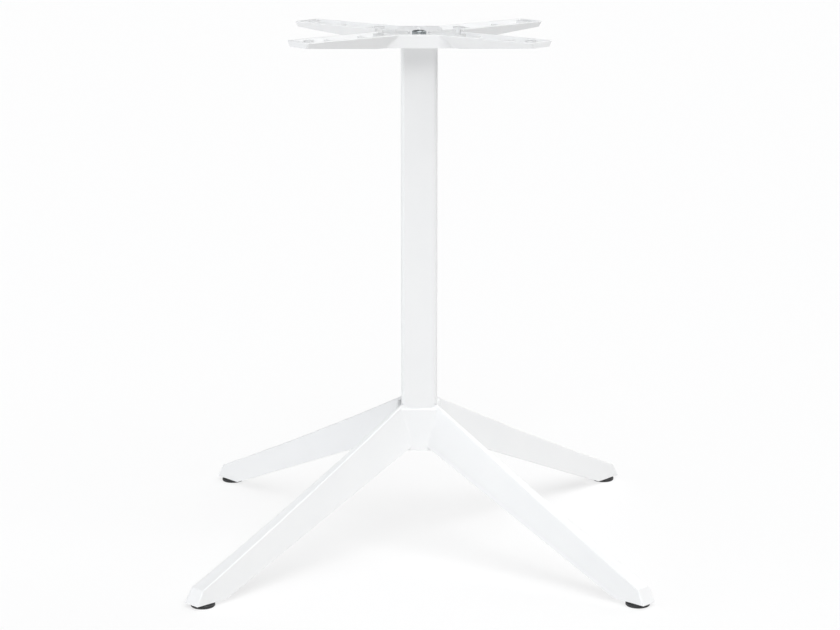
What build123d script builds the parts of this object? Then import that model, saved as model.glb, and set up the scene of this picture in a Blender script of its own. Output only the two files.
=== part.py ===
"""Four-leg pedestal table base: cast leg star, square column, cast X-shaped top bracket, tie bolt, levelling glides.

Frame: millimetres, +Z up, origin on the floor under the column's axis. X is the width, Y the depth, and the front is -Y.
"""
from build123d import *
import os
from math import atan2, cos, degrees, radians, sin, sqrt, tan

# Overall sizes
overall_height = 720.0
glide_spacing = 568.0  # centre to centre, the same in x and y

# Column: a square tube
column_width = 50.0
column_wall = 2.0
column_corner_radius = 6.0
spigot_clearance = 0.2  # on each side, between a casting's spigot and the tube

# Leg star, hub
hub_top_height = 196.5  # the column stands on this face
hub_bottom_height = 140.0
hub_top_width = 59.0
hub_bottom_width = 80.0
hub_wall = 5.0
hub_plate = 7.0  # thickness of the top plate
hub_boss_diameter = 34.0
hub_boss_bottom_height = 154.0
hub_web = 5.0
spigot_height = 14.0
spigot_wall = 5.0
casting_edge_radius = 1.6

# Leg star, legs: heights and widths of the section at the hub and at the foot
leg_start_radius = 16.0  # inside the hub
ridge_hub_height = 198.0
ridge_hub_radius = 41.0
ridge_foot_height = 25.0
ridge_foot_radius = 411.0
ridge_sag = 3.0  # how far the ridge line hangs below a straight one, at half its length
ridge_hub_width = 5.0
ridge_foot_width = 23.0
skirt_hub_height = 142.5
skirt_foot_radius = 374.0  # where the sloping lower edge reaches the flat of the foot
skirt_hub_width = 40.0
skirt_foot_width = 30.0
foot_gap = 6.0  # from the floor to the underside of the foot
foot_lean = 11.0  # how far the end face leans out at its bottom
leg_wall = 4.0
leg_rib = 3.0
leg_pocket_start_radius = 64.0
leg_pocket_end_radius = 366.0
leg_pocket_count = 5
leg_pocket_top_width = 5.0
leg_crease_radius = 4.0  # where the legs run into the hub

# Levelling glides
glide_diameter = 32.0
glide_edge_chamfer = 1.0
glide_rim_height = 4.5  # the disc's side, below its coned top
glide_neck_diameter = 18.0
stud_diameter = 8.0
stud_engagement = 15.0
stud_hole_clearance = 0.05  # on the radius
stud_head_across_flats = 13.0
stud_head_thickness = 2.5
stud_head_recess = 1.5  # from the disc's underside up to the stud's head
stud_hole_spare_depth = 2.0

# Top bracket
bracket_hub_depth = 18.0
bracket_tip_depth = 8.0
bracket_hub_width_x = 120.0
bracket_hub_width_y = 114.0
bracket_wall = 4.0  # measured level, through the sloping walls
bracket_floor = 3.5
bracket_hub_floor = 5.0
bracket_boss_diameter = 34.0
bracket_rib = 3.0
bracket_rib_drop = 3.0  # from the rim down to the ribs' tops
bracket_rim_radius = 1.2
bracket_crease_radius = 5.0  # where the arms run into the hub
arm_corner_radius = 3.0  # at the two upright corners of an arm's end
arm_end_radius = 210.0
arm_knee_radius = 84.0  # from here outwards the underside rises
arm_start_radius = 30.0
arm_top_hub_width = 53.0
arm_top_tip_width = 47.0
arm_wall_lean = 35.0  # degrees from upright, of an arm's two side walls
hole_spacing_x = 290.0
hole_spacing_y = 250.0
inner_hole_radius = 72.0
arm_rib_radii = (92.0, 150.0)
screw_hole_diameter = 6.5
screw_boss_diameter = 15.0
screw_seat_diameter = 13.0
screw_seat_depth = 1.2

# Tie bolt, its washers and its nut
bolt_diameter = 10.0
bolt_head_height = 6.4
bolt_head_across_flats = 17.0
bolt_head_below_top = 0.3  # from the bracket's top plane down to the head's top
bolt_end_spare = 3.0  # of thread past the nut
bolt_hole_clearance = 0.4  # on the radius
nut_thread_clearance = 0.05  # on the radius
washer_diameter = 21.0
washer_thickness = 2.0
nut_height = 8.0
nut_across_flats = 17.0
hex_chamfer = 1.2

os.makedirs("parts", exist_ok=True)

# Values worked out from the sizes above
glide_radius = glide_spacing / sqrt(2)
column_inside = column_width - 2 * column_wall
column_inner_radius = column_corner_radius - column_wall
spigot_width = column_inside - 2 * spigot_clearance
spigot_corner_radius = column_inner_radius - spigot_clearance
column_top_height = overall_height - bracket_hub_depth
arm_angle = degrees(atan2(hole_spacing_y, hole_spacing_x))
arm_angles = (arm_angle, 180 - arm_angle, 180 + arm_angle, -arm_angle)
tip_hole_radius = sqrt(hole_spacing_x**2 + hole_spacing_y**2) / 2
bolt_hole_radius = bolt_diameter / 2 + bolt_hole_clearance
arm_wall_slope = tan(radians(arm_wall_lean))
arm_taper = (arm_top_hub_width - arm_top_tip_width) / 2 / (arm_end_radius - arm_start_radius)
leg_names = {45: "back_right", 135: "back_left", 225: "front_left", 315: "front_right"}


def between(value, start, end, at_start, at_end):
    """Straight-line value at a place between (and beyond) two places."""
    return at_start + (at_end - at_start) * (value - start) / (end - start)


def section_plane(radius):
    """Upright plane across a leg or arm that runs along +X: its x is the width, and its y is the height."""
    return Plane(origin=(radius, 0, 0), x_dir=(0, 1, 0), z_dir=(1, 0, 0))


def trapezoid(top_width, top_height, bottom_width, bottom_height):
    """Closed four-sided outline, symmetrical about its upright axis, in the open sketch."""
    Polygon(
        (-bottom_width / 2, bottom_height),
        (bottom_width / 2, bottom_height),
        (top_width / 2, top_height),
        (-top_width / 2, top_height),
        align=None,
    )


def ridge_height(radius):
    """Height of a leg's ridge: a straight slope with a slight sag at half its length."""
    straight = between(radius, ridge_hub_radius, ridge_foot_radius, ridge_hub_height, ridge_foot_height)
    share = between(radius, ridge_hub_radius, ridge_foot_radius, 0, 1)
    return straight - 4 * ridge_sag * share * (1 - share)


def skirt_height(radius):
    """Height of a leg's sloping lower edge."""
    return between(radius, ridge_hub_radius, skirt_foot_radius, skirt_hub_height, foot_gap)


def ridge_width(radius):
    """Width across the top of a leg."""
    return between(radius, ridge_hub_radius, ridge_foot_radius, ridge_hub_width, ridge_foot_width)


def skirt_width(radius):
    """Width across the bottom of a leg."""
    return between(radius, ridge_hub_radius, ridge_foot_radius, skirt_hub_width, skirt_foot_width)


def side_width(radius, height):
    """Width of a leg at a height, between its sloping side walls."""
    return between(height, ridge_height(radius), skirt_height(radius), ridge_width(radius), skirt_width(radius))


def end_radius(height):
    """Distance of a leg's leaning end face from the axis, at a height."""
    return between(height, ridge_foot_height, foot_gap, ridge_foot_radius, ridge_foot_radius + foot_lean)


def arm_depth(radius):
    """Depth of an arm below the bracket's top plane: even as far as the knee, then less and less."""
    sloping = between(radius, arm_knee_radius, arm_end_radius, bracket_hub_depth, bracket_tip_depth)
    return min(sloping, bracket_hub_depth)


def arm_form(end, top, floor, wall):
    """An arm along +X between its leaning side walls, or what is inside its floor and its walls."""
    with BuildPart() as form:
        with BuildSketch(Plane.XZ):
            Polygon(
                (arm_start_radius, top),
                (end, top),
                (end, overall_height - arm_depth(end) + floor),
                (arm_knee_radius, column_top_height + floor),
                (arm_start_radius, column_top_height + floor),
                align=None,
            )
        extrude(amount=arm_top_hub_width, both=True)
        for side in (-1, 1):
            wall_origin = (arm_start_radius, side * (arm_top_hub_width / 2 - wall), overall_height)
            split(bisect_by=Plane(origin=wall_origin, z_dir=(arm_taper, side, -arm_wall_slope)), keep=Keep.BOTTOM)
    return form.part


def crease_edges(casting, hub_width, hub_depth):
    """Steep edges near a casting's hub, over half as long as it is deep: where the limbs run into it."""
    steep = casting.edges().filter_by(lambda e: abs(e.tangent_at(0.5).Z) > 0.6 and e.length > hub_depth / 2)
    return steep.filter_by(lambda e: abs(e.center().X) < hub_width)


def hexagon_blank(across_flats, bottom, top, chamfer_bottom, chamfer_top):
    """Hexagonal prism whose corners are turned off at the ends."""
    corner = across_flats / sqrt(3)
    with BuildPart() as blank:
        with BuildSketch(Plane.XY.offset(bottom)):
            RegularPolygon(across_flats / 2, 6, major_radius=False)
        extrude(amount=top - bottom)
        with BuildSketch(Plane.XZ):
            Polygon(
                (0, bottom),
                (corner - chamfer_bottom, bottom),
                (corner, bottom + chamfer_bottom / 2),
                (corner, top - chamfer_top / 2),
                (corner - chamfer_top, top),
                (0, top),
                align=None,
            )
        revolve(axis=Axis.Z, mode=Mode.INTERSECT)
    return blank.part


# One leg, along +X
leg_mid_radius = (ridge_hub_radius + ridge_foot_radius) / 2
leg_end_radius = ridge_foot_radius + foot_lean
with BuildPart() as leg:
    for station in (leg_start_radius, leg_mid_radius, leg_end_radius + foot_lean):
        with BuildSketch(section_plane(station)):
            trapezoid(ridge_width(station), ridge_height(station), skirt_width(station), skirt_height(station))
    loft()
    # The foot's flat underside
    with BuildSketch(Plane.XY.offset(foot_gap)):
        with Locations((leg_end_radius, 0)):
            Rectangle(leg_end_radius, 2 * skirt_foot_width)
    extrude(amount=-overall_height, mode=Mode.SUBTRACT)
    # The leaning end face
    with BuildSketch(Plane.XZ):
        Polygon(
            (end_radius(2 * ridge_foot_height), 2 * ridge_foot_height),
            (2 * leg_end_radius, 2 * ridge_foot_height),
            (2 * leg_end_radius, -foot_gap),
            (end_radius(-foot_gap), -foot_gap),
            align=None,
        )
    extrude(amount=skirt_foot_width, both=True, mode=Mode.SUBTRACT)
    side_edges = leg.edges().filter_by(lambda e: abs(e.center().Y) > 1 and e.length > glide_radius / 2)
    end_face = leg.faces().sort_by(Axis.X)[-1]
    end_corners = end_face.edges().filter_by(lambda e: abs(e.center().Y) > 1)
    fillet(side_edges.sort_by(Axis.Z)[-2:] + end_corners, radius=casting_edge_radius)

# The pockets in a leg's underside, between its cross ribs, along +X
pocket_pitch = (leg_pocket_end_radius - leg_pocket_start_radius + leg_rib) / leg_pocket_count
with BuildPart() as leg_pockets:
    for number in range(leg_pocket_count):
        pocket_start = leg_pocket_start_radius + number * pocket_pitch
        for station in (pocket_start, pocket_start + pocket_pitch - leg_rib):
            narrowest = leg_pocket_top_width + 2 * leg_wall
            narrow_height = between(
                narrowest, ridge_width(station), skirt_width(station), ridge_height(station), skirt_height(station)
            )
            ceiling = min(ridge_height(station) - leg_wall, narrow_height)
            opening = skirt_height(station) - leg_wall
            with BuildSketch(section_plane(station)):
                trapezoid(
                    side_width(station, ceiling) - 2 * leg_wall,
                    ceiling,
                    side_width(station, opening) - 2 * leg_wall,
                    opening,
                )
        loft(ruled=True)

# Leg star: the hub, four legs, the spigot, and the hollow underside
hub_ceiling_height = hub_top_height - hub_plate
hub_ceiling_width = between(hub_ceiling_height, hub_bottom_height, hub_top_height, hub_bottom_width, hub_top_width)
with BuildPart() as leg_star:
    with BuildSketch(Plane.XY.offset(hub_bottom_height)):
        Rectangle(hub_bottom_width, hub_bottom_width)
    with BuildSketch(Plane.XY.offset(hub_top_height)):
        Rectangle(hub_top_width, hub_top_width)
    loft(ruled=True)
    fillet(leg_star.faces().sort_by(Axis.Z)[-1].edges(), radius=casting_edge_radius)
    with PolarLocations(0, len(leg_names), start_angle=45):
        add(leg.part)
    fillet(crease_edges(leg_star, hub_bottom_width, hub_top_height - hub_bottom_height), radius=leg_crease_radius)
    # What the legs have above the hub's top plate
    with BuildSketch(Plane.XY.offset(hub_top_height)):
        Rectangle(column_width, column_width)
    extrude(amount=hub_bottom_height, mode=Mode.SUBTRACT)
    # Hollow of the hub
    with BuildSketch(Plane.XY.offset(hub_bottom_height)):
        Rectangle(hub_bottom_width - 2 * hub_wall, hub_bottom_width - 2 * hub_wall)
    with BuildSketch(Plane.XY.offset(hub_ceiling_height)):
        Rectangle(hub_ceiling_width - 2 * hub_wall, hub_ceiling_width - 2 * hub_wall)
    loft(ruled=True, mode=Mode.SUBTRACT)
    with PolarLocations(0, len(leg_names), start_angle=45):
        add(leg_pockets.part, mode=Mode.SUBTRACT)
    # Boss and webs that take the tie bolt's pull
    with BuildSketch(Plane.XY.offset(hub_boss_bottom_height)):
        Circle(hub_boss_diameter / 2)
    extrude(amount=hub_top_height - hub_boss_bottom_height)
    with BuildSketch(Plane.XY.offset(hub_boss_bottom_height + hub_web)):
        Rectangle(hub_ceiling_width - hub_wall, hub_web)
        Rectangle(hub_web, hub_ceiling_width - hub_wall)
    extrude(amount=hub_ceiling_height - hub_boss_bottom_height - hub_web)
    # Spigot that the column slides over
    with BuildSketch(Plane.XY.offset(hub_top_height)):
        RectangleRounded(spigot_width, spigot_width, spigot_corner_radius)
        offset(amount=-spigot_wall, mode=Mode.SUBTRACT)
    extrude(amount=spigot_height)
    with BuildSketch(Plane.XY.offset(hub_boss_bottom_height)):
        Circle(bolt_hole_radius)
    extrude(amount=overall_height, mode=Mode.SUBTRACT)
    # Holes for the glides' studs
    with BuildSketch(Plane.XY.offset(foot_gap)):
        with GridLocations(glide_spacing, glide_spacing, 2, 2):
            Circle(stud_diameter / 2 + stud_hole_clearance)
    extrude(amount=stud_engagement + stud_hole_spare_depth, mode=Mode.SUBTRACT)
leg_star.part.label = "leg_star"
export_step(leg_star.part, "parts/leg_star.step")

# Column
with BuildPart() as column_tube:
    with BuildSketch(Plane.XY.offset(hub_top_height)):
        RectangleRounded(column_width, column_width, column_corner_radius)
        RectangleRounded(column_inside, column_inside, column_inner_radius, mode=Mode.SUBTRACT)
    extrude(amount=column_top_height - hub_top_height)
column_tube.part.label = "column_tube"
export_step(column_tube.part, "parts/column_tube.step")

# One arm of the top bracket, and the open channel in it, less its screw bosses and cross ribs, along +X
arm_blank = arm_form(arm_end_radius, overall_height, 0, 0)
channel_top = overall_height + bracket_rim_radius
channel_blank = arm_form(arm_end_radius - bracket_wall, channel_top, bracket_floor, bracket_wall)
with BuildPart() as arm:
    add(arm_blank)
    end_face = arm.faces().sort_by(Axis.X)[-1]
    end_corners = end_face.edges().filter_by(lambda e: abs(e.center().Y) > bracket_wall)
    fillet(end_corners, radius=arm_corner_radius)
with BuildPart() as arm_channel:
    add(channel_blank)
    with BuildSketch(Plane.XY.offset(overall_height)):
        with Locations((tip_hole_radius, 0), (inner_hole_radius, 0)):
            Circle(screw_boss_diameter / 2)
    extrude(amount=-bracket_hub_depth, mode=Mode.SUBTRACT)
    with BuildSketch(Plane.XY.offset(overall_height - bracket_rib_drop)):
        for station in arm_rib_radii:
            with Locations((station, 0)):
                Rectangle(bracket_rib, arm_top_hub_width)
        with Locations(((tip_hole_radius + arm_end_radius) / 2, 0)):
            Rectangle(arm_end_radius - tip_hole_radius, bracket_rib)
    extrude(amount=-bracket_hub_depth, mode=Mode.SUBTRACT)

# Top bracket: the hub, four arms, the hollows, the bosses and the spigot
bolt_head_bottom = overall_height - bolt_head_below_top - bolt_head_height
bracket_boss_top = bolt_head_bottom - washer_thickness
with BuildPart() as top_bracket:
    with BuildSketch(Plane.XY.offset(column_top_height)):
        Rectangle(bracket_hub_width_x, bracket_hub_width_y)
    extrude(amount=bracket_hub_depth)
    for angle in arm_angles:
        with Locations(Rotation(0, 0, angle)):
            add(arm.part)
    fillet(crease_edges(top_bracket, bracket_hub_width_x, bracket_hub_depth), radius=bracket_crease_radius)
    fillet(top_bracket.faces().sort_by(Axis.Z)[-1].outer_wire().edges(), radius=bracket_rim_radius)
    # Hollow of the hub, round the bolt's boss and its ribs
    with BuildSketch(Plane.XY.offset(column_top_height + bracket_hub_floor)):
        Rectangle(bracket_hub_width_x - 2 * bracket_wall, bracket_hub_width_y - 2 * bracket_wall)
        Circle(bracket_boss_diameter / 2, mode=Mode.SUBTRACT)
        for angle in arm_angles:
            with PolarLocations(inner_hole_radius, 1, start_angle=angle):
                Circle(screw_boss_diameter / 2, mode=Mode.SUBTRACT)
    extrude(amount=bracket_hub_depth, mode=Mode.SUBTRACT)
    for angle in arm_angles:
        with Locations(Rotation(0, 0, angle)):
            add(arm_channel.part, mode=Mode.SUBTRACT)
    with BuildSketch(Plane.XY.offset(column_top_height + bracket_hub_floor)):
        Rectangle(bracket_hub_width_x - bracket_wall, bracket_rib)
        Rectangle(bracket_rib, bracket_hub_width_y - bracket_wall)
        for angle in arm_angles:
            with Locations(Rotation(0, 0, angle)):
                with Locations((inner_hole_radius / 2, 0)):
                    Rectangle(inner_hole_radius, bracket_rib)
    extrude(amount=bracket_hub_depth - bracket_hub_floor - bracket_rib_drop)
    # The boss's face for the bolt's washer
    with BuildSketch(Plane.XY.offset(bracket_boss_top)):
        Circle(bracket_boss_diameter / 2)
    extrude(amount=bracket_hub_depth, mode=Mode.SUBTRACT)
    # Spigot inside the column
    with BuildSketch(Plane.XY.offset(column_top_height)):
        RectangleRounded(spigot_width, spigot_width, spigot_corner_radius)
        offset(amount=-spigot_wall, mode=Mode.SUBTRACT)
    extrude(amount=-spigot_height)
    with BuildSketch(Plane.XY.offset(overall_height)):
        Circle(bolt_hole_radius)
    extrude(amount=-overall_height, mode=Mode.SUBTRACT)
    # Screw holes, with flat seats for the screws' heads underneath
    for hole_radius in (tip_hole_radius, inner_hole_radius):
        seat_height = overall_height - arm_depth(hole_radius) + screw_seat_depth
        with BuildSketch(Plane.XY.offset(seat_height)):
            for angle in arm_angles:
                with PolarLocations(hole_radius, 1, start_angle=angle):
                    Circle(screw_seat_diameter / 2)
        extrude(amount=-bracket_hub_depth, mode=Mode.SUBTRACT)
        with BuildSketch(Plane.XY.offset(overall_height)):
            for angle in arm_angles:
                with PolarLocations(hole_radius, 1, start_angle=angle):
                    Circle(screw_hole_diameter / 2)
        extrude(amount=-bracket_hub_depth, mode=Mode.SUBTRACT)
top_bracket.part.label = "top_bracket"
export_step(top_bracket.part, "parts/top_bracket.step")

# Tie bolt, from the bracket's boss down through the column to the nut under the hub
nut_top = hub_boss_bottom_height - washer_thickness
bolt_end = nut_top - nut_height - bolt_end_spare
bolt_head_top = bolt_head_bottom + bolt_head_height
bolt_head = hexagon_blank(bolt_head_across_flats, bolt_head_bottom, bolt_head_top, 0, hex_chamfer)
with BuildPart() as tie_bolt:
    add(bolt_head)
    with BuildSketch(Plane.XY.offset(bolt_head_bottom)):
        Circle(bolt_diameter / 2)
    extrude(amount=bolt_end - bolt_head_bottom)
    chamfer(tie_bolt.faces().sort_by(Axis.Z)[0].edges(), length=hex_chamfer)
tie_bolt.part.label = "tie_bolt"
export_step(tie_bolt.part, "parts/tie_bolt.step")

for washer_name, washer_bottom in (("top_washer", bracket_boss_top), ("bottom_washer", nut_top)):
    with BuildPart() as washer:
        with BuildSketch(Plane.XY.offset(washer_bottom)):
            Circle(washer_diameter / 2)
            Circle(bolt_hole_radius, mode=Mode.SUBTRACT)
        extrude(amount=washer_thickness)
    washer.part.label = washer_name
    export_step(washer.part, f"parts/{washer_name}.step")

nut_blank = hexagon_blank(nut_across_flats, nut_top - nut_height, nut_top, hex_chamfer, hex_chamfer)
with BuildPart() as bottom_nut:
    add(nut_blank)
    with BuildSketch(Plane.XY.offset(nut_top)):
        Circle(bolt_diameter / 2 + nut_thread_clearance)
    extrude(amount=-nut_height, mode=Mode.SUBTRACT)
bottom_nut.part.label = "bottom_nut"
export_step(bottom_nut.part, "parts/bottom_nut.step")

# Levelling glides: a black disc with a steel stud, screwed up into each foot
stud_head_top = stud_head_recess + stud_head_thickness
with BuildPart() as glide_stud:
    with BuildSketch(Plane.XY.offset(stud_head_recess)):
        RegularPolygon(stud_head_across_flats / 2, 6, major_radius=False)
    extrude(amount=stud_head_thickness)
    with BuildSketch(Plane.XY.offset(stud_head_top)):
        Circle(stud_diameter / 2)
    extrude(amount=foot_gap + stud_engagement - stud_head_top)
    chamfer(glide_stud.faces().sort_by(Axis.Z)[-1].edges(), length=hex_chamfer)

with BuildPart() as glide_pad:
    with BuildSketch(Plane.XZ):
        with BuildLine():
            Polyline(
                (0, 0),
                (glide_diameter / 2, 0),
                (glide_diameter / 2, glide_rim_height),
                (glide_neck_diameter / 2, foot_gap),
                (0, foot_gap),
                close=True,
            )
        make_face()
    revolve(axis=Axis.Z)
    rim_edges = glide_pad.edges().filter_by(GeomType.CIRCLE).group_by(SortBy.RADIUS)[-1]
    chamfer(rim_edges, length=glide_edge_chamfer)
    with BuildSketch():
        RegularPolygon(stud_head_across_flats / 2, 6, major_radius=False)
    extrude(amount=stud_head_top, mode=Mode.SUBTRACT)
    with BuildSketch():
        Circle(stud_diameter / 2)
    extrude(amount=foot_gap, mode=Mode.SUBTRACT)

for leg_angle, leg_name in leg_names.items():
    place = Location((glide_radius * cos(radians(leg_angle)), glide_radius * sin(radians(leg_angle)), 0))
    for piece_name, piece in (("glide_pad", glide_pad.part), ("glide_stud", glide_stud.part)):
        with BuildPart() as glide_piece:
            with Locations(place):
                add(piece)
        glide_piece.part.label = f"{piece_name}_{leg_name}"
        export_step(glide_piece.part, f"parts/{piece_name}_{leg_name}.step")
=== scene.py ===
"""Looks of a cast four-leg table base.

Satin white powder coat on the castings and the column, zinc-plated fasteners with wound threads,
and black levelling glides. Lengths are in metres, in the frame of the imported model.
"""

from math import cos, pi, radians, sin

import bmesh
import bpy
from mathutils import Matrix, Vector


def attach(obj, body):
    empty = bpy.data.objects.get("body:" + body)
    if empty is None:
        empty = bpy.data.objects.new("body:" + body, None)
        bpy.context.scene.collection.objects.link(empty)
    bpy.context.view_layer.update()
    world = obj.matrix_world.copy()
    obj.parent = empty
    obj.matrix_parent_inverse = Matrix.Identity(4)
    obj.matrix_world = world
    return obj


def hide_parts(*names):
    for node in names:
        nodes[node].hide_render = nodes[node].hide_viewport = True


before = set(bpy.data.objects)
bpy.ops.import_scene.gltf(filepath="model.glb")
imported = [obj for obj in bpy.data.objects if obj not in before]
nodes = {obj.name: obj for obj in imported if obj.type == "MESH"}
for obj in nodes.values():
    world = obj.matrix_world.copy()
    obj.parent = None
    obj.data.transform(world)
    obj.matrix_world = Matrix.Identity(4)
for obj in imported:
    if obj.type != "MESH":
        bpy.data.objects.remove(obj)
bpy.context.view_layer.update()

# The glides stand at the corners of a square
half_spacing = 0.284
leg_places = {
    "front_left": (-half_spacing, -half_spacing),
    "front_right": (half_spacing, -half_spacing),
    "back_left": (-half_spacing, half_spacing),
    "back_right": (half_spacing, half_spacing),
}

# Glide studs: M8, a thin hexagon head in the disc, threaded almost down to the head
stud_radius = 0.004
stud_root_radius = 0.00335
stud_pitch = 0.00125
stud_head_flats = 0.013
stud_head_bottom = 0.0015
stud_head_top = 0.004
stud_thread_start = 0.0052
stud_end = 0.021

# Tie bolt: M10, hexagon head at the top, threaded at its lower end
bolt_radius = 0.005
bolt_root_radius = 0.0042
bolt_pitch = 0.0015
bolt_head_flats = 0.017
bolt_head_top = 0.7197
bolt_head_bottom = 0.7133
bolt_end = 0.141
bolt_thread_length = 0.042

# Studs and bolt alike; each chamfer is half as deep, on the radius, as it is long
end_chamfer = 0.0011
head_chamfer = 0.0009
ridge_width_share = 0.92  # of the pitch
runout_share = 0.06  # of the thread's length, at each end
runout_size = 0.05  # of the full ridge, at its very end
thread_steps_per_turn = 24
round_steps = 48  # a multiple of six, so that hexagons have points at their corners
smooth_angle = radians(32)

# Finishes: linear colours, noise scales in features per metre, bump depths in metres
mix_span = (0.3, 0.7)  # the part of a noise's range over which two colours mix
coat_greyer = (0.806, 0.812, 0.816)
coat_whiter = (0.824, 0.828, 0.829)
coat_roughness = (0.36, 0.46)
coat_ior = 1.5
coat_cloud_scale = 16
peel_scale = 700
peel_strength = 0.5
peel_depth = 0.0001
wave_strength = 0.4
casting_wave_scale = 45
casting_wave_depth = 0.0006
tube_wave_scale = 14
tube_wave_depth = 0.0003

zinc_darker = (0.30, 0.33, 0.34)
zinc_lighter = (0.52, 0.55, 0.56)
zinc_roughness = (0.36, 0.54)
mottle_scale = 420
mottle_strength = 0.2
mark_scale = 90
mark_stretch = (1, 1, 40)
mark_strength = 0.25
zinc_depth = 0.00004

plastic_darker = (0.014, 0.014, 0.015)
plastic_lighter = (0.024, 0.024, 0.025)
plastic_roughness = (0.42, 0.62)
grain_scale = 2400
grain_strength = 0.4
grain_depth = 0.00004

# Studio
floor_size = 200.0
floor_colour = (0.26, 0.26, 0.26, 1.0)
floor_roughness = 0.9
floor_glow = 0.705
backdrop_brightness = 0.98
white = (1.0, 1.0, 1.0, 1.0)
neutral_tint = (1.0, 1.0, 1.0)
cool_tint = (0.975, 0.995, 1.025)

# Camera: a long lens, a third of a metre above the bracket, looking down at the middle of the base;
# the turn takes it round to the left, the side step to the right
camera_lens = 103.85
camera_sensor = 36.0
camera_distance = 3.287
camera_side = 0.0012
camera_height = 1.0739
camera_pitch = radians(12.849)
camera_turn = radians(0.359)


def new_material(name):
    """Node material with only a surface shader, wired up; returns it, its tree and its shader."""
    material = bpy.data.materials.new(name)
    material.use_nodes = True
    tree = material.node_tree
    tree.nodes.clear()
    output = tree.nodes.new("ShaderNodeOutputMaterial")
    shader = tree.nodes.new("ShaderNodeBsdfPrincipled")
    tree.links.new(shader.outputs["BSDF"], output.inputs["Surface"])
    return material, tree, shader


def object_noise(tree, scale, detail, stretch=(1, 1, 1)):
    """Noise in the piece's own coordinates, from 0 to 1."""
    coordinates = tree.nodes.new("ShaderNodeTexCoord")
    mapping = tree.nodes.new("ShaderNodeMapping")
    mapping.inputs["Scale"].default_value = stretch
    noise = tree.nodes.new("ShaderNodeTexNoise")
    noise.inputs["Scale"].default_value = scale
    noise.inputs["Detail"].default_value = detail
    tree.links.new(coordinates.outputs["Object"], mapping.inputs["Vector"])
    tree.links.new(mapping.outputs["Vector"], noise.inputs["Vector"])
    return noise.outputs["Fac"]


def value_range(tree, source, low, high):
    """Maps a 0 to 1 value to a range."""
    mapped = tree.nodes.new("ShaderNodeMapRange")
    mapped.inputs["To Min"].default_value = low
    mapped.inputs["To Max"].default_value = high
    tree.links.new(source, mapped.inputs["Value"])
    return mapped.outputs["Result"]


def colour_range(tree, source, low, high):
    """Maps a 0 to 1 value to a mix of two colours."""
    ramp = tree.nodes.new("ShaderNodeValToRGB")
    for stop, position, colour in zip(ramp.color_ramp.elements, mix_span, (low, high)):
        stop.position = position
        stop.color = (*colour, 1.0)
    tree.links.new(source, ramp.inputs["Fac"])
    return ramp.outputs["Color"]


def add_bump(tree, height, strength, distance, previous=None):
    """Bump from a height value; a second layer takes the first one's normal."""
    bump = tree.nodes.new("ShaderNodeBump")
    bump.inputs["Strength"].default_value = strength
    bump.inputs["Distance"].default_value = distance
    tree.links.new(height, bump.inputs["Height"])
    if previous:
        tree.links.new(previous, bump.inputs["Normal"])
    return bump.outputs["Normal"]


def powder_coat(name, wave_scale, wave_depth):
    """White satin powder coat: fine orange peel over the slight waves of the metal under it."""
    material, tree, shader = new_material(name)
    shader.inputs["IOR"].default_value = coat_ior
    cloud = object_noise(tree, coat_cloud_scale, detail=3)
    peel = object_noise(tree, peel_scale, detail=2)
    waves = object_noise(tree, wave_scale, detail=3)
    colour = colour_range(tree, cloud, coat_greyer, coat_whiter)
    wavy = add_bump(tree, waves, wave_strength, wave_depth)
    peeled = add_bump(tree, peel, peel_strength, peel_depth, wavy)
    tree.links.new(colour, shader.inputs["Base Color"])
    tree.links.new(value_range(tree, peel, *coat_roughness), shader.inputs["Roughness"])
    tree.links.new(peeled, shader.inputs["Normal"])
    return material


def zinc_steel(name):
    """Zinc-plated steel: bluish, slightly mottled, with faint turning marks."""
    material, tree, shader = new_material(name)
    shader.inputs["Metallic"].default_value = 1.0
    mottle = object_noise(tree, mottle_scale, detail=4)
    marks = object_noise(tree, mark_scale, detail=2, stretch=mark_stretch)
    colour = colour_range(tree, mottle, zinc_darker, zinc_lighter)
    turned = add_bump(tree, marks, mark_strength, zinc_depth)
    plated = add_bump(tree, mottle, mottle_strength, zinc_depth, turned)
    tree.links.new(colour, shader.inputs["Base Color"])
    tree.links.new(value_range(tree, mottle, *zinc_roughness), shader.inputs["Roughness"])
    tree.links.new(plated, shader.inputs["Normal"])
    return material


def black_plastic(name):
    """Black moulded plastic with a fine spark-eroded grain."""
    material, tree, shader = new_material(name)
    grain = object_noise(tree, grain_scale, detail=3)
    colour = colour_range(tree, grain, plastic_darker, plastic_lighter)
    tree.links.new(colour, shader.inputs["Base Color"])
    tree.links.new(value_range(tree, grain, *plastic_roughness), shader.inputs["Roughness"])
    tree.links.new(add_bump(tree, grain, grain_strength, grain_depth), shader.inputs["Normal"])
    return material


def white_floor(name):
    """Plain white studio floor, lit from below as a light table is."""
    material, _, shader = new_material(name)
    shader.inputs["Base Color"].default_value = floor_colour
    shader.inputs["Roughness"].default_value = floor_roughness
    shader.inputs["Specular IOR Level"].default_value = 0.0
    shader.inputs["Emission Color"].default_value = white
    shader.inputs["Emission Strength"].default_value = floor_glow
    return material


def dress(node_name, material):
    """Gives a CAD node its finish."""
    slots = nodes[node_name].data.materials
    slots.clear()
    slots.append(material)


def circle(place, radius, height):
    """Points of a level circle."""
    angles = [2 * pi * n / round_steps for n in range(round_steps)]
    return [(place[0] + radius * cos(a), place[1] + radius * sin(a), height) for a in angles]


def hexagon(place, across_flats, height):
    """Points of a level hexagon with corners at -x and +x, as many points as a circle has."""
    points = []
    for n in range(round_steps):
        angle = 2 * pi * n / round_steps
        from_flat = angle % (pi / 3) - pi / 6
        reach = across_flats / 2 / cos(from_flat)
        points.append((place[0] + reach * cos(angle), place[1] + reach * sin(angle), height))
    return points


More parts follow.
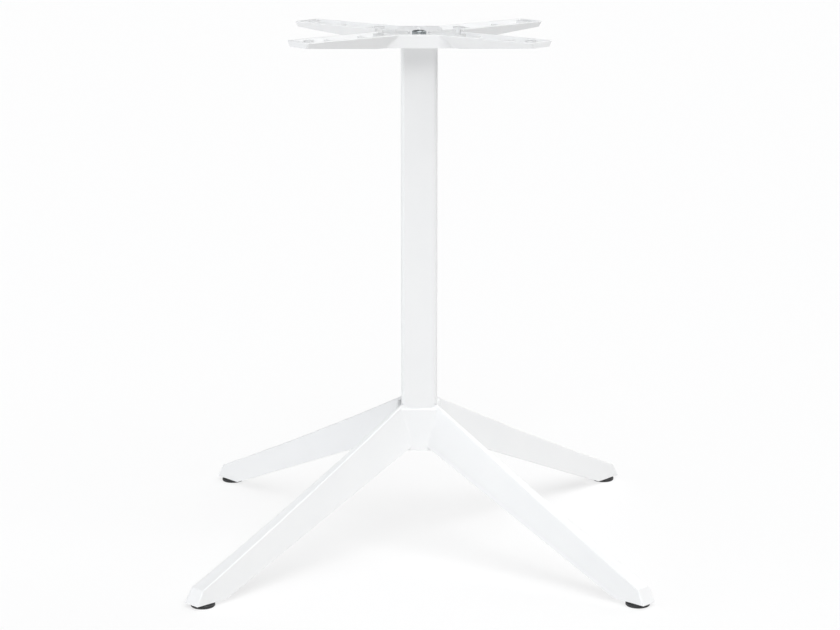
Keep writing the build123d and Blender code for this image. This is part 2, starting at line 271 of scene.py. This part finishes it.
def add_rings(shape, rings):
    """Skins a stack of closed rings of points, from the lowest up, and closes both ends."""
    loops = [[shape.verts.new(point) for point in ring] for ring in rings]
    for lower, upper in zip(loops, loops[1:]):
        for number in range(len(lower)):
            following = (number + 1) % len(lower)
            shape.faces.new((lower[number], lower[following], upper[following], upper[number]))
    shape.faces.new(list(reversed(loops[0])))
    shape.faces.new(loops[-1])


def fastener_core(name, head, shank, material):
    """Hexagon head and the plain rod that its thread goes round, as one object at the origin."""
    shape = bmesh.new()
    for rings in (head, shank):
        add_rings(shape, rings)
    bmesh.ops.recalc_face_normals(shape, faces=shape.faces)
    mesh = bpy.data.meshes.new(name)
    shape.to_mesh(mesh)
    shape.free()
    mesh.materials.append(material)
    core = bpy.data.objects.new(name, mesh)
    bpy.context.scene.collection.objects.link(core)
    return core


def helix_path(tree, given):
    """Curve that winds up along the thread's root, its normals kept upright."""
    helix = tree.nodes.new("GeometryNodeCurveSpiral")
    for socket, name in (("Resolution", "Steps"), ("Rotations", "Turns"), ("Height", "Length")):
        tree.links.new(given.outputs[name], helix.inputs[socket])
    for socket in ("Start Radius", "End Radius"):
        tree.links.new(given.outputs["Root Radius"], helix.inputs[socket])
    upright = tree.nodes.new("GeometryNodeSetCurveNormal")
    upright.mode = "Z_UP"
    tree.links.new(helix.outputs["Curve"], upright.inputs["Curve"])
    return upright.outputs["Curve"]


def ridge_size(tree):
    """Size of the ridge along the thread: full, but running out at both ends."""
    along = tree.nodes.new("GeometryNodeSplineParameter")
    runout = tree.nodes.new("ShaderNodeFloatCurve")
    points = runout.mapping.curves[0].points
    points[0].location, points[1].location = (0.0, runout_size), (1.0, runout_size)
    for place in (runout_share, 1.0 - runout_share):
        points.new(place, 1.0)
    runout.mapping.update()
    tree.links.new(along.outputs["Factor"], runout.inputs["Value"])
    return runout.outputs["Value"]


def ridge_profile(tree, given):
    """Kite across the path: its outer half is the pointed ridge, its inner half is in the rod."""
    ridge = tree.nodes.new("GeometryNodeCurvePrimitiveQuadrilateral")
    ridge.mode = "KITE"
    tree.links.new(given.outputs["Ridge Width"], ridge.inputs["Width"])
    for socket in ("Bottom Height", "Top Height"):
        tree.links.new(given.outputs["Ridge Height"], ridge.inputs[socket])
    return ridge.outputs["Curve"]


def make_thread_tree(material):
    """Tree that winds a thread round the rod that comes in, and the identifiers of its inputs."""
    tree = bpy.data.node_groups.new("thread", "GeometryNodeTree")
    tree.interface.new_socket("Geometry", in_out="INPUT", socket_type="NodeSocketGeometry")
    kinds = {
        "Root Radius": "NodeSocketFloat",
        "Ridge Height": "NodeSocketFloat",
        "Ridge Width": "NodeSocketFloat",
        "Length": "NodeSocketFloat",
        "Turns": "NodeSocketFloat",
        "Start": "NodeSocketVector",
        "Steps": "NodeSocketInt",
    }
    identifiers = {
        name: tree.interface.new_socket(name, in_out="INPUT", socket_type=kind).identifier
        for name, kind in kinds.items()
    }
    tree.interface.new_socket("Geometry", in_out="OUTPUT", socket_type="NodeSocketGeometry")
    given = tree.nodes.new("NodeGroupInput")
    result = tree.nodes.new("NodeGroupOutput")

    swept = tree.nodes.new("GeometryNodeCurveToMesh")
    swept.inputs["Fill Caps"].default_value = True
    tree.links.new(helix_path(tree, given), swept.inputs["Curve"])
    tree.links.new(ridge_size(tree), swept.inputs["Scale"])
    tree.links.new(ridge_profile(tree, given), swept.inputs["Profile Curve"])
    placed = tree.nodes.new("GeometryNodeTransform")
    tree.links.new(swept.outputs["Mesh"], placed.inputs["Geometry"])
    tree.links.new(given.outputs["Start"], placed.inputs["Translation"])

    joined = tree.nodes.new("GeometryNodeJoinGeometry")
    tree.links.new(placed.outputs["Geometry"], joined.inputs["Geometry"])
    tree.links.new(given.outputs["Geometry"], joined.inputs["Geometry"])
    real = tree.nodes.new("GeometryNodeRealizeInstances")
    tree.links.new(joined.outputs["Geometry"], real.inputs["Geometry"])
    finished = tree.nodes.new("GeometryNodeSetMaterial")
    finished.inputs["Material"].default_value = material
    tree.links.new(real.outputs["Geometry"], finished.inputs["Geometry"])
    tree.links.new(finished.outputs["Geometry"], result.inputs["Geometry"])
    return tree, identifiers


def wind_thread(core, start, length, root_radius, crest_radius, pitch):
    """Winds the thread round a rod and keeps the result as its plain mesh, with one material."""
    material = core.data.materials[0]
    sizes = {
        "Root Radius": root_radius,
        "Ridge Height": crest_radius - root_radius,
        "Ridge Width": pitch * ridge_width_share,
        "Length": length,
        "Turns": length / pitch,
        "Start": start,
        "Steps": thread_steps_per_turn,
    }
    winding = core.modifiers.new("thread", "NODES")
    winding.node_group = thread_tree
    for name, value in sizes.items():
        winding[thread_inputs[name]] = value
    wound = core.evaluated_get(bpy.context.evaluated_depsgraph_get())
    mesh = bpy.data.meshes.new_from_object(wound)
    core.modifiers.remove(winding)
    core.data = mesh
    # The joined thread brings an empty material slot along, so the slots are made anew
    mesh.materials.clear()
    mesh.materials.append(material)
    for face in mesh.polygons:
        face.material_index = 0
    mesh.shade_smooth()
    mesh.set_sharp_from_angle(angle=smooth_angle)


def make_stud(leg_name, place):
    """Stud of one glide, which moves with its disc."""
    head = [hexagon(place, stud_head_flats, height) for height in (stud_head_bottom, stud_head_top)]
    shank = [
        circle(place, stud_root_radius, stud_head_top),
        circle(place, stud_root_radius, stud_end - end_chamfer),
        circle(place, stud_root_radius - end_chamfer / 2, stud_end),
    ]
    stud = fastener_core(f"threaded_stud_{leg_name}", head, shank, zinc)
    wind_thread(
        stud,
        start=(*place, stud_thread_start),
        length=stud_end - end_chamfer - stud_thread_start,
        root_radius=stud_root_radius,
        crest_radius=stud_radius,
        pitch=stud_pitch,
    )
    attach(stud, f"glide_{leg_name}")
    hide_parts(f"glide_stud_{leg_name}")


def make_tie_bolt():
    """Bolt on the column's axis that clamps bracket, column and leg star together."""
    axis = (0.0, 0.0)
    thread_top = bolt_end + bolt_thread_length
    head = [
        hexagon(axis, bolt_head_flats, bolt_head_bottom),
        hexagon(axis, bolt_head_flats, bolt_head_top - head_chamfer),
        circle(axis, bolt_head_flats / 2 - head_chamfer / 2, bolt_head_top),
    ]
    shank = [
        circle(axis, bolt_root_radius - end_chamfer / 2, bolt_end),
        circle(axis, bolt_root_radius, bolt_end + end_chamfer),
        circle(axis, bolt_root_radius, thread_top),
        circle(axis, bolt_radius, thread_top + end_chamfer),
        circle(axis, bolt_radius, bolt_head_bottom),
    ]
    bolt = fastener_core("threaded_tie_bolt", head, shank, zinc)
    wind_thread(
        bolt,
        start=(*axis, bolt_end + end_chamfer),
        length=bolt_thread_length - end_chamfer,
        root_radius=bolt_root_radius,
        crest_radius=bolt_radius,
        pitch=bolt_pitch,
    )
    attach(bolt, "base")
    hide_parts("tie_bolt")


def make_floor():
    """Large white floor that reaches far past the base on all sides."""
    mesh = bpy.data.meshes.new("studio_floor")
    half = floor_size / 2
    corners = [(-half, -half, 0), (half, -half, 0), (half, half, 0), (-half, half, 0)]
    mesh.from_pydata(corners, [], [(0, 1, 2, 3)])
    floor = bpy.data.objects.new("studio_floor", mesh)
    bpy.context.scene.collection.objects.link(floor)
    floor.data.materials.append(white_floor("studio_floor"))


def make_backdrop():
    """White surroundings, seen by the camera only: they light nothing and nothing mirrors them."""
    world = bpy.data.worlds.new("studio")
    world.use_nodes = True
    background = world.node_tree.nodes["Background"]
    background.inputs["Color"].default_value = white
    background.inputs["Strength"].default_value = backdrop_brightness
    bpy.context.scene.world = world
    world.cycles_visibility.diffuse = False
    world.cycles_visibility.glossy = False


def soft_light(name, azimuth, elevation, spread, strength, tint=neutral_tint):
    """Wide soft light from far away, placed in degrees; azimuth 0 is in front, 90 on the right."""
    light = bpy.data.lights.new(name, "SUN")
    light.angle = radians(spread)
    light.energy = strength
    light.color = tint
    lamp = bpy.data.objects.new(name, light)
    bpy.context.scene.collection.objects.link(lamp)
    turn, rise = radians(azimuth), radians(elevation)
    away = Vector((sin(turn) * cos(rise), -cos(turn) * cos(rise), sin(rise)))
    lamp.rotation_euler = away.to_track_quat("Z", "Y").to_euler()


def make_lights():
    """Key high on the front right, fills in front and on the left, and one behind on the right."""
    soft_light("key_front_right", azimuth=45, elevation=60, spread=50, strength=2.087)
    soft_light("front", azimuth=0, elevation=40, spread=28, strength=0.71)
    soft_light("front_left", azimuth=-45, elevation=60, spread=50, strength=0.417, tint=cool_tint)
    soft_light("front_left_low", azimuth=-45, elevation=8, spread=40, strength=0.74, tint=cool_tint)
    soft_light("left_low", azimuth=-90, elevation=8, spread=40, strength=0.80, tint=cool_tint)
    soft_light("back_right", azimuth=135, elevation=30, spread=50, strength=1.075)


def make_camera():
    """The photograph's view, almost straight from the front."""
    camera = bpy.data.objects.new("camera", bpy.data.cameras.new("camera"))
    bpy.context.scene.collection.objects.link(camera)
    camera.data.lens = camera_lens
    camera.data.sensor_width = camera_sensor
    camera.data.clip_end = 2 * floor_size
    right = Vector((cos(camera_turn), -sin(camera_turn), 0))
    forward = Vector((sin(camera_turn), cos(camera_turn), 0))
    up = Vector((0, 0, camera_height))
    camera.location = right * camera_side - forward * camera_distance + up
    camera.rotation_euler = (pi / 2 - camera_pitch, 0, -camera_turn)
    bpy.context.scene.camera = camera


casting_coat = powder_coat("powder_coat_casting", casting_wave_scale, casting_wave_depth)
tube_coat = powder_coat("powder_coat_tube", tube_wave_scale, tube_wave_depth)
zinc = zinc_steel("zinc_plate")
plastic = black_plastic("black_moulding")

dress("leg_star", casting_coat)
dress("top_bracket", casting_coat)
dress("column_tube", tube_coat)
for fastener in ("top_washer", "bottom_washer", "bottom_nut"):
    dress(fastener, zinc)
for leg in leg_places:
    dress(f"glide_pad_{leg}", plastic)

thread_tree, thread_inputs = make_thread_tree(zinc)
for leg, place in leg_places.items():
    make_stud(leg, place)
make_tie_bolt()

make_floor()
make_backdrop()
make_lights()
make_camera()
bpy.context.scene.view_settings.view_transform = "Standard"
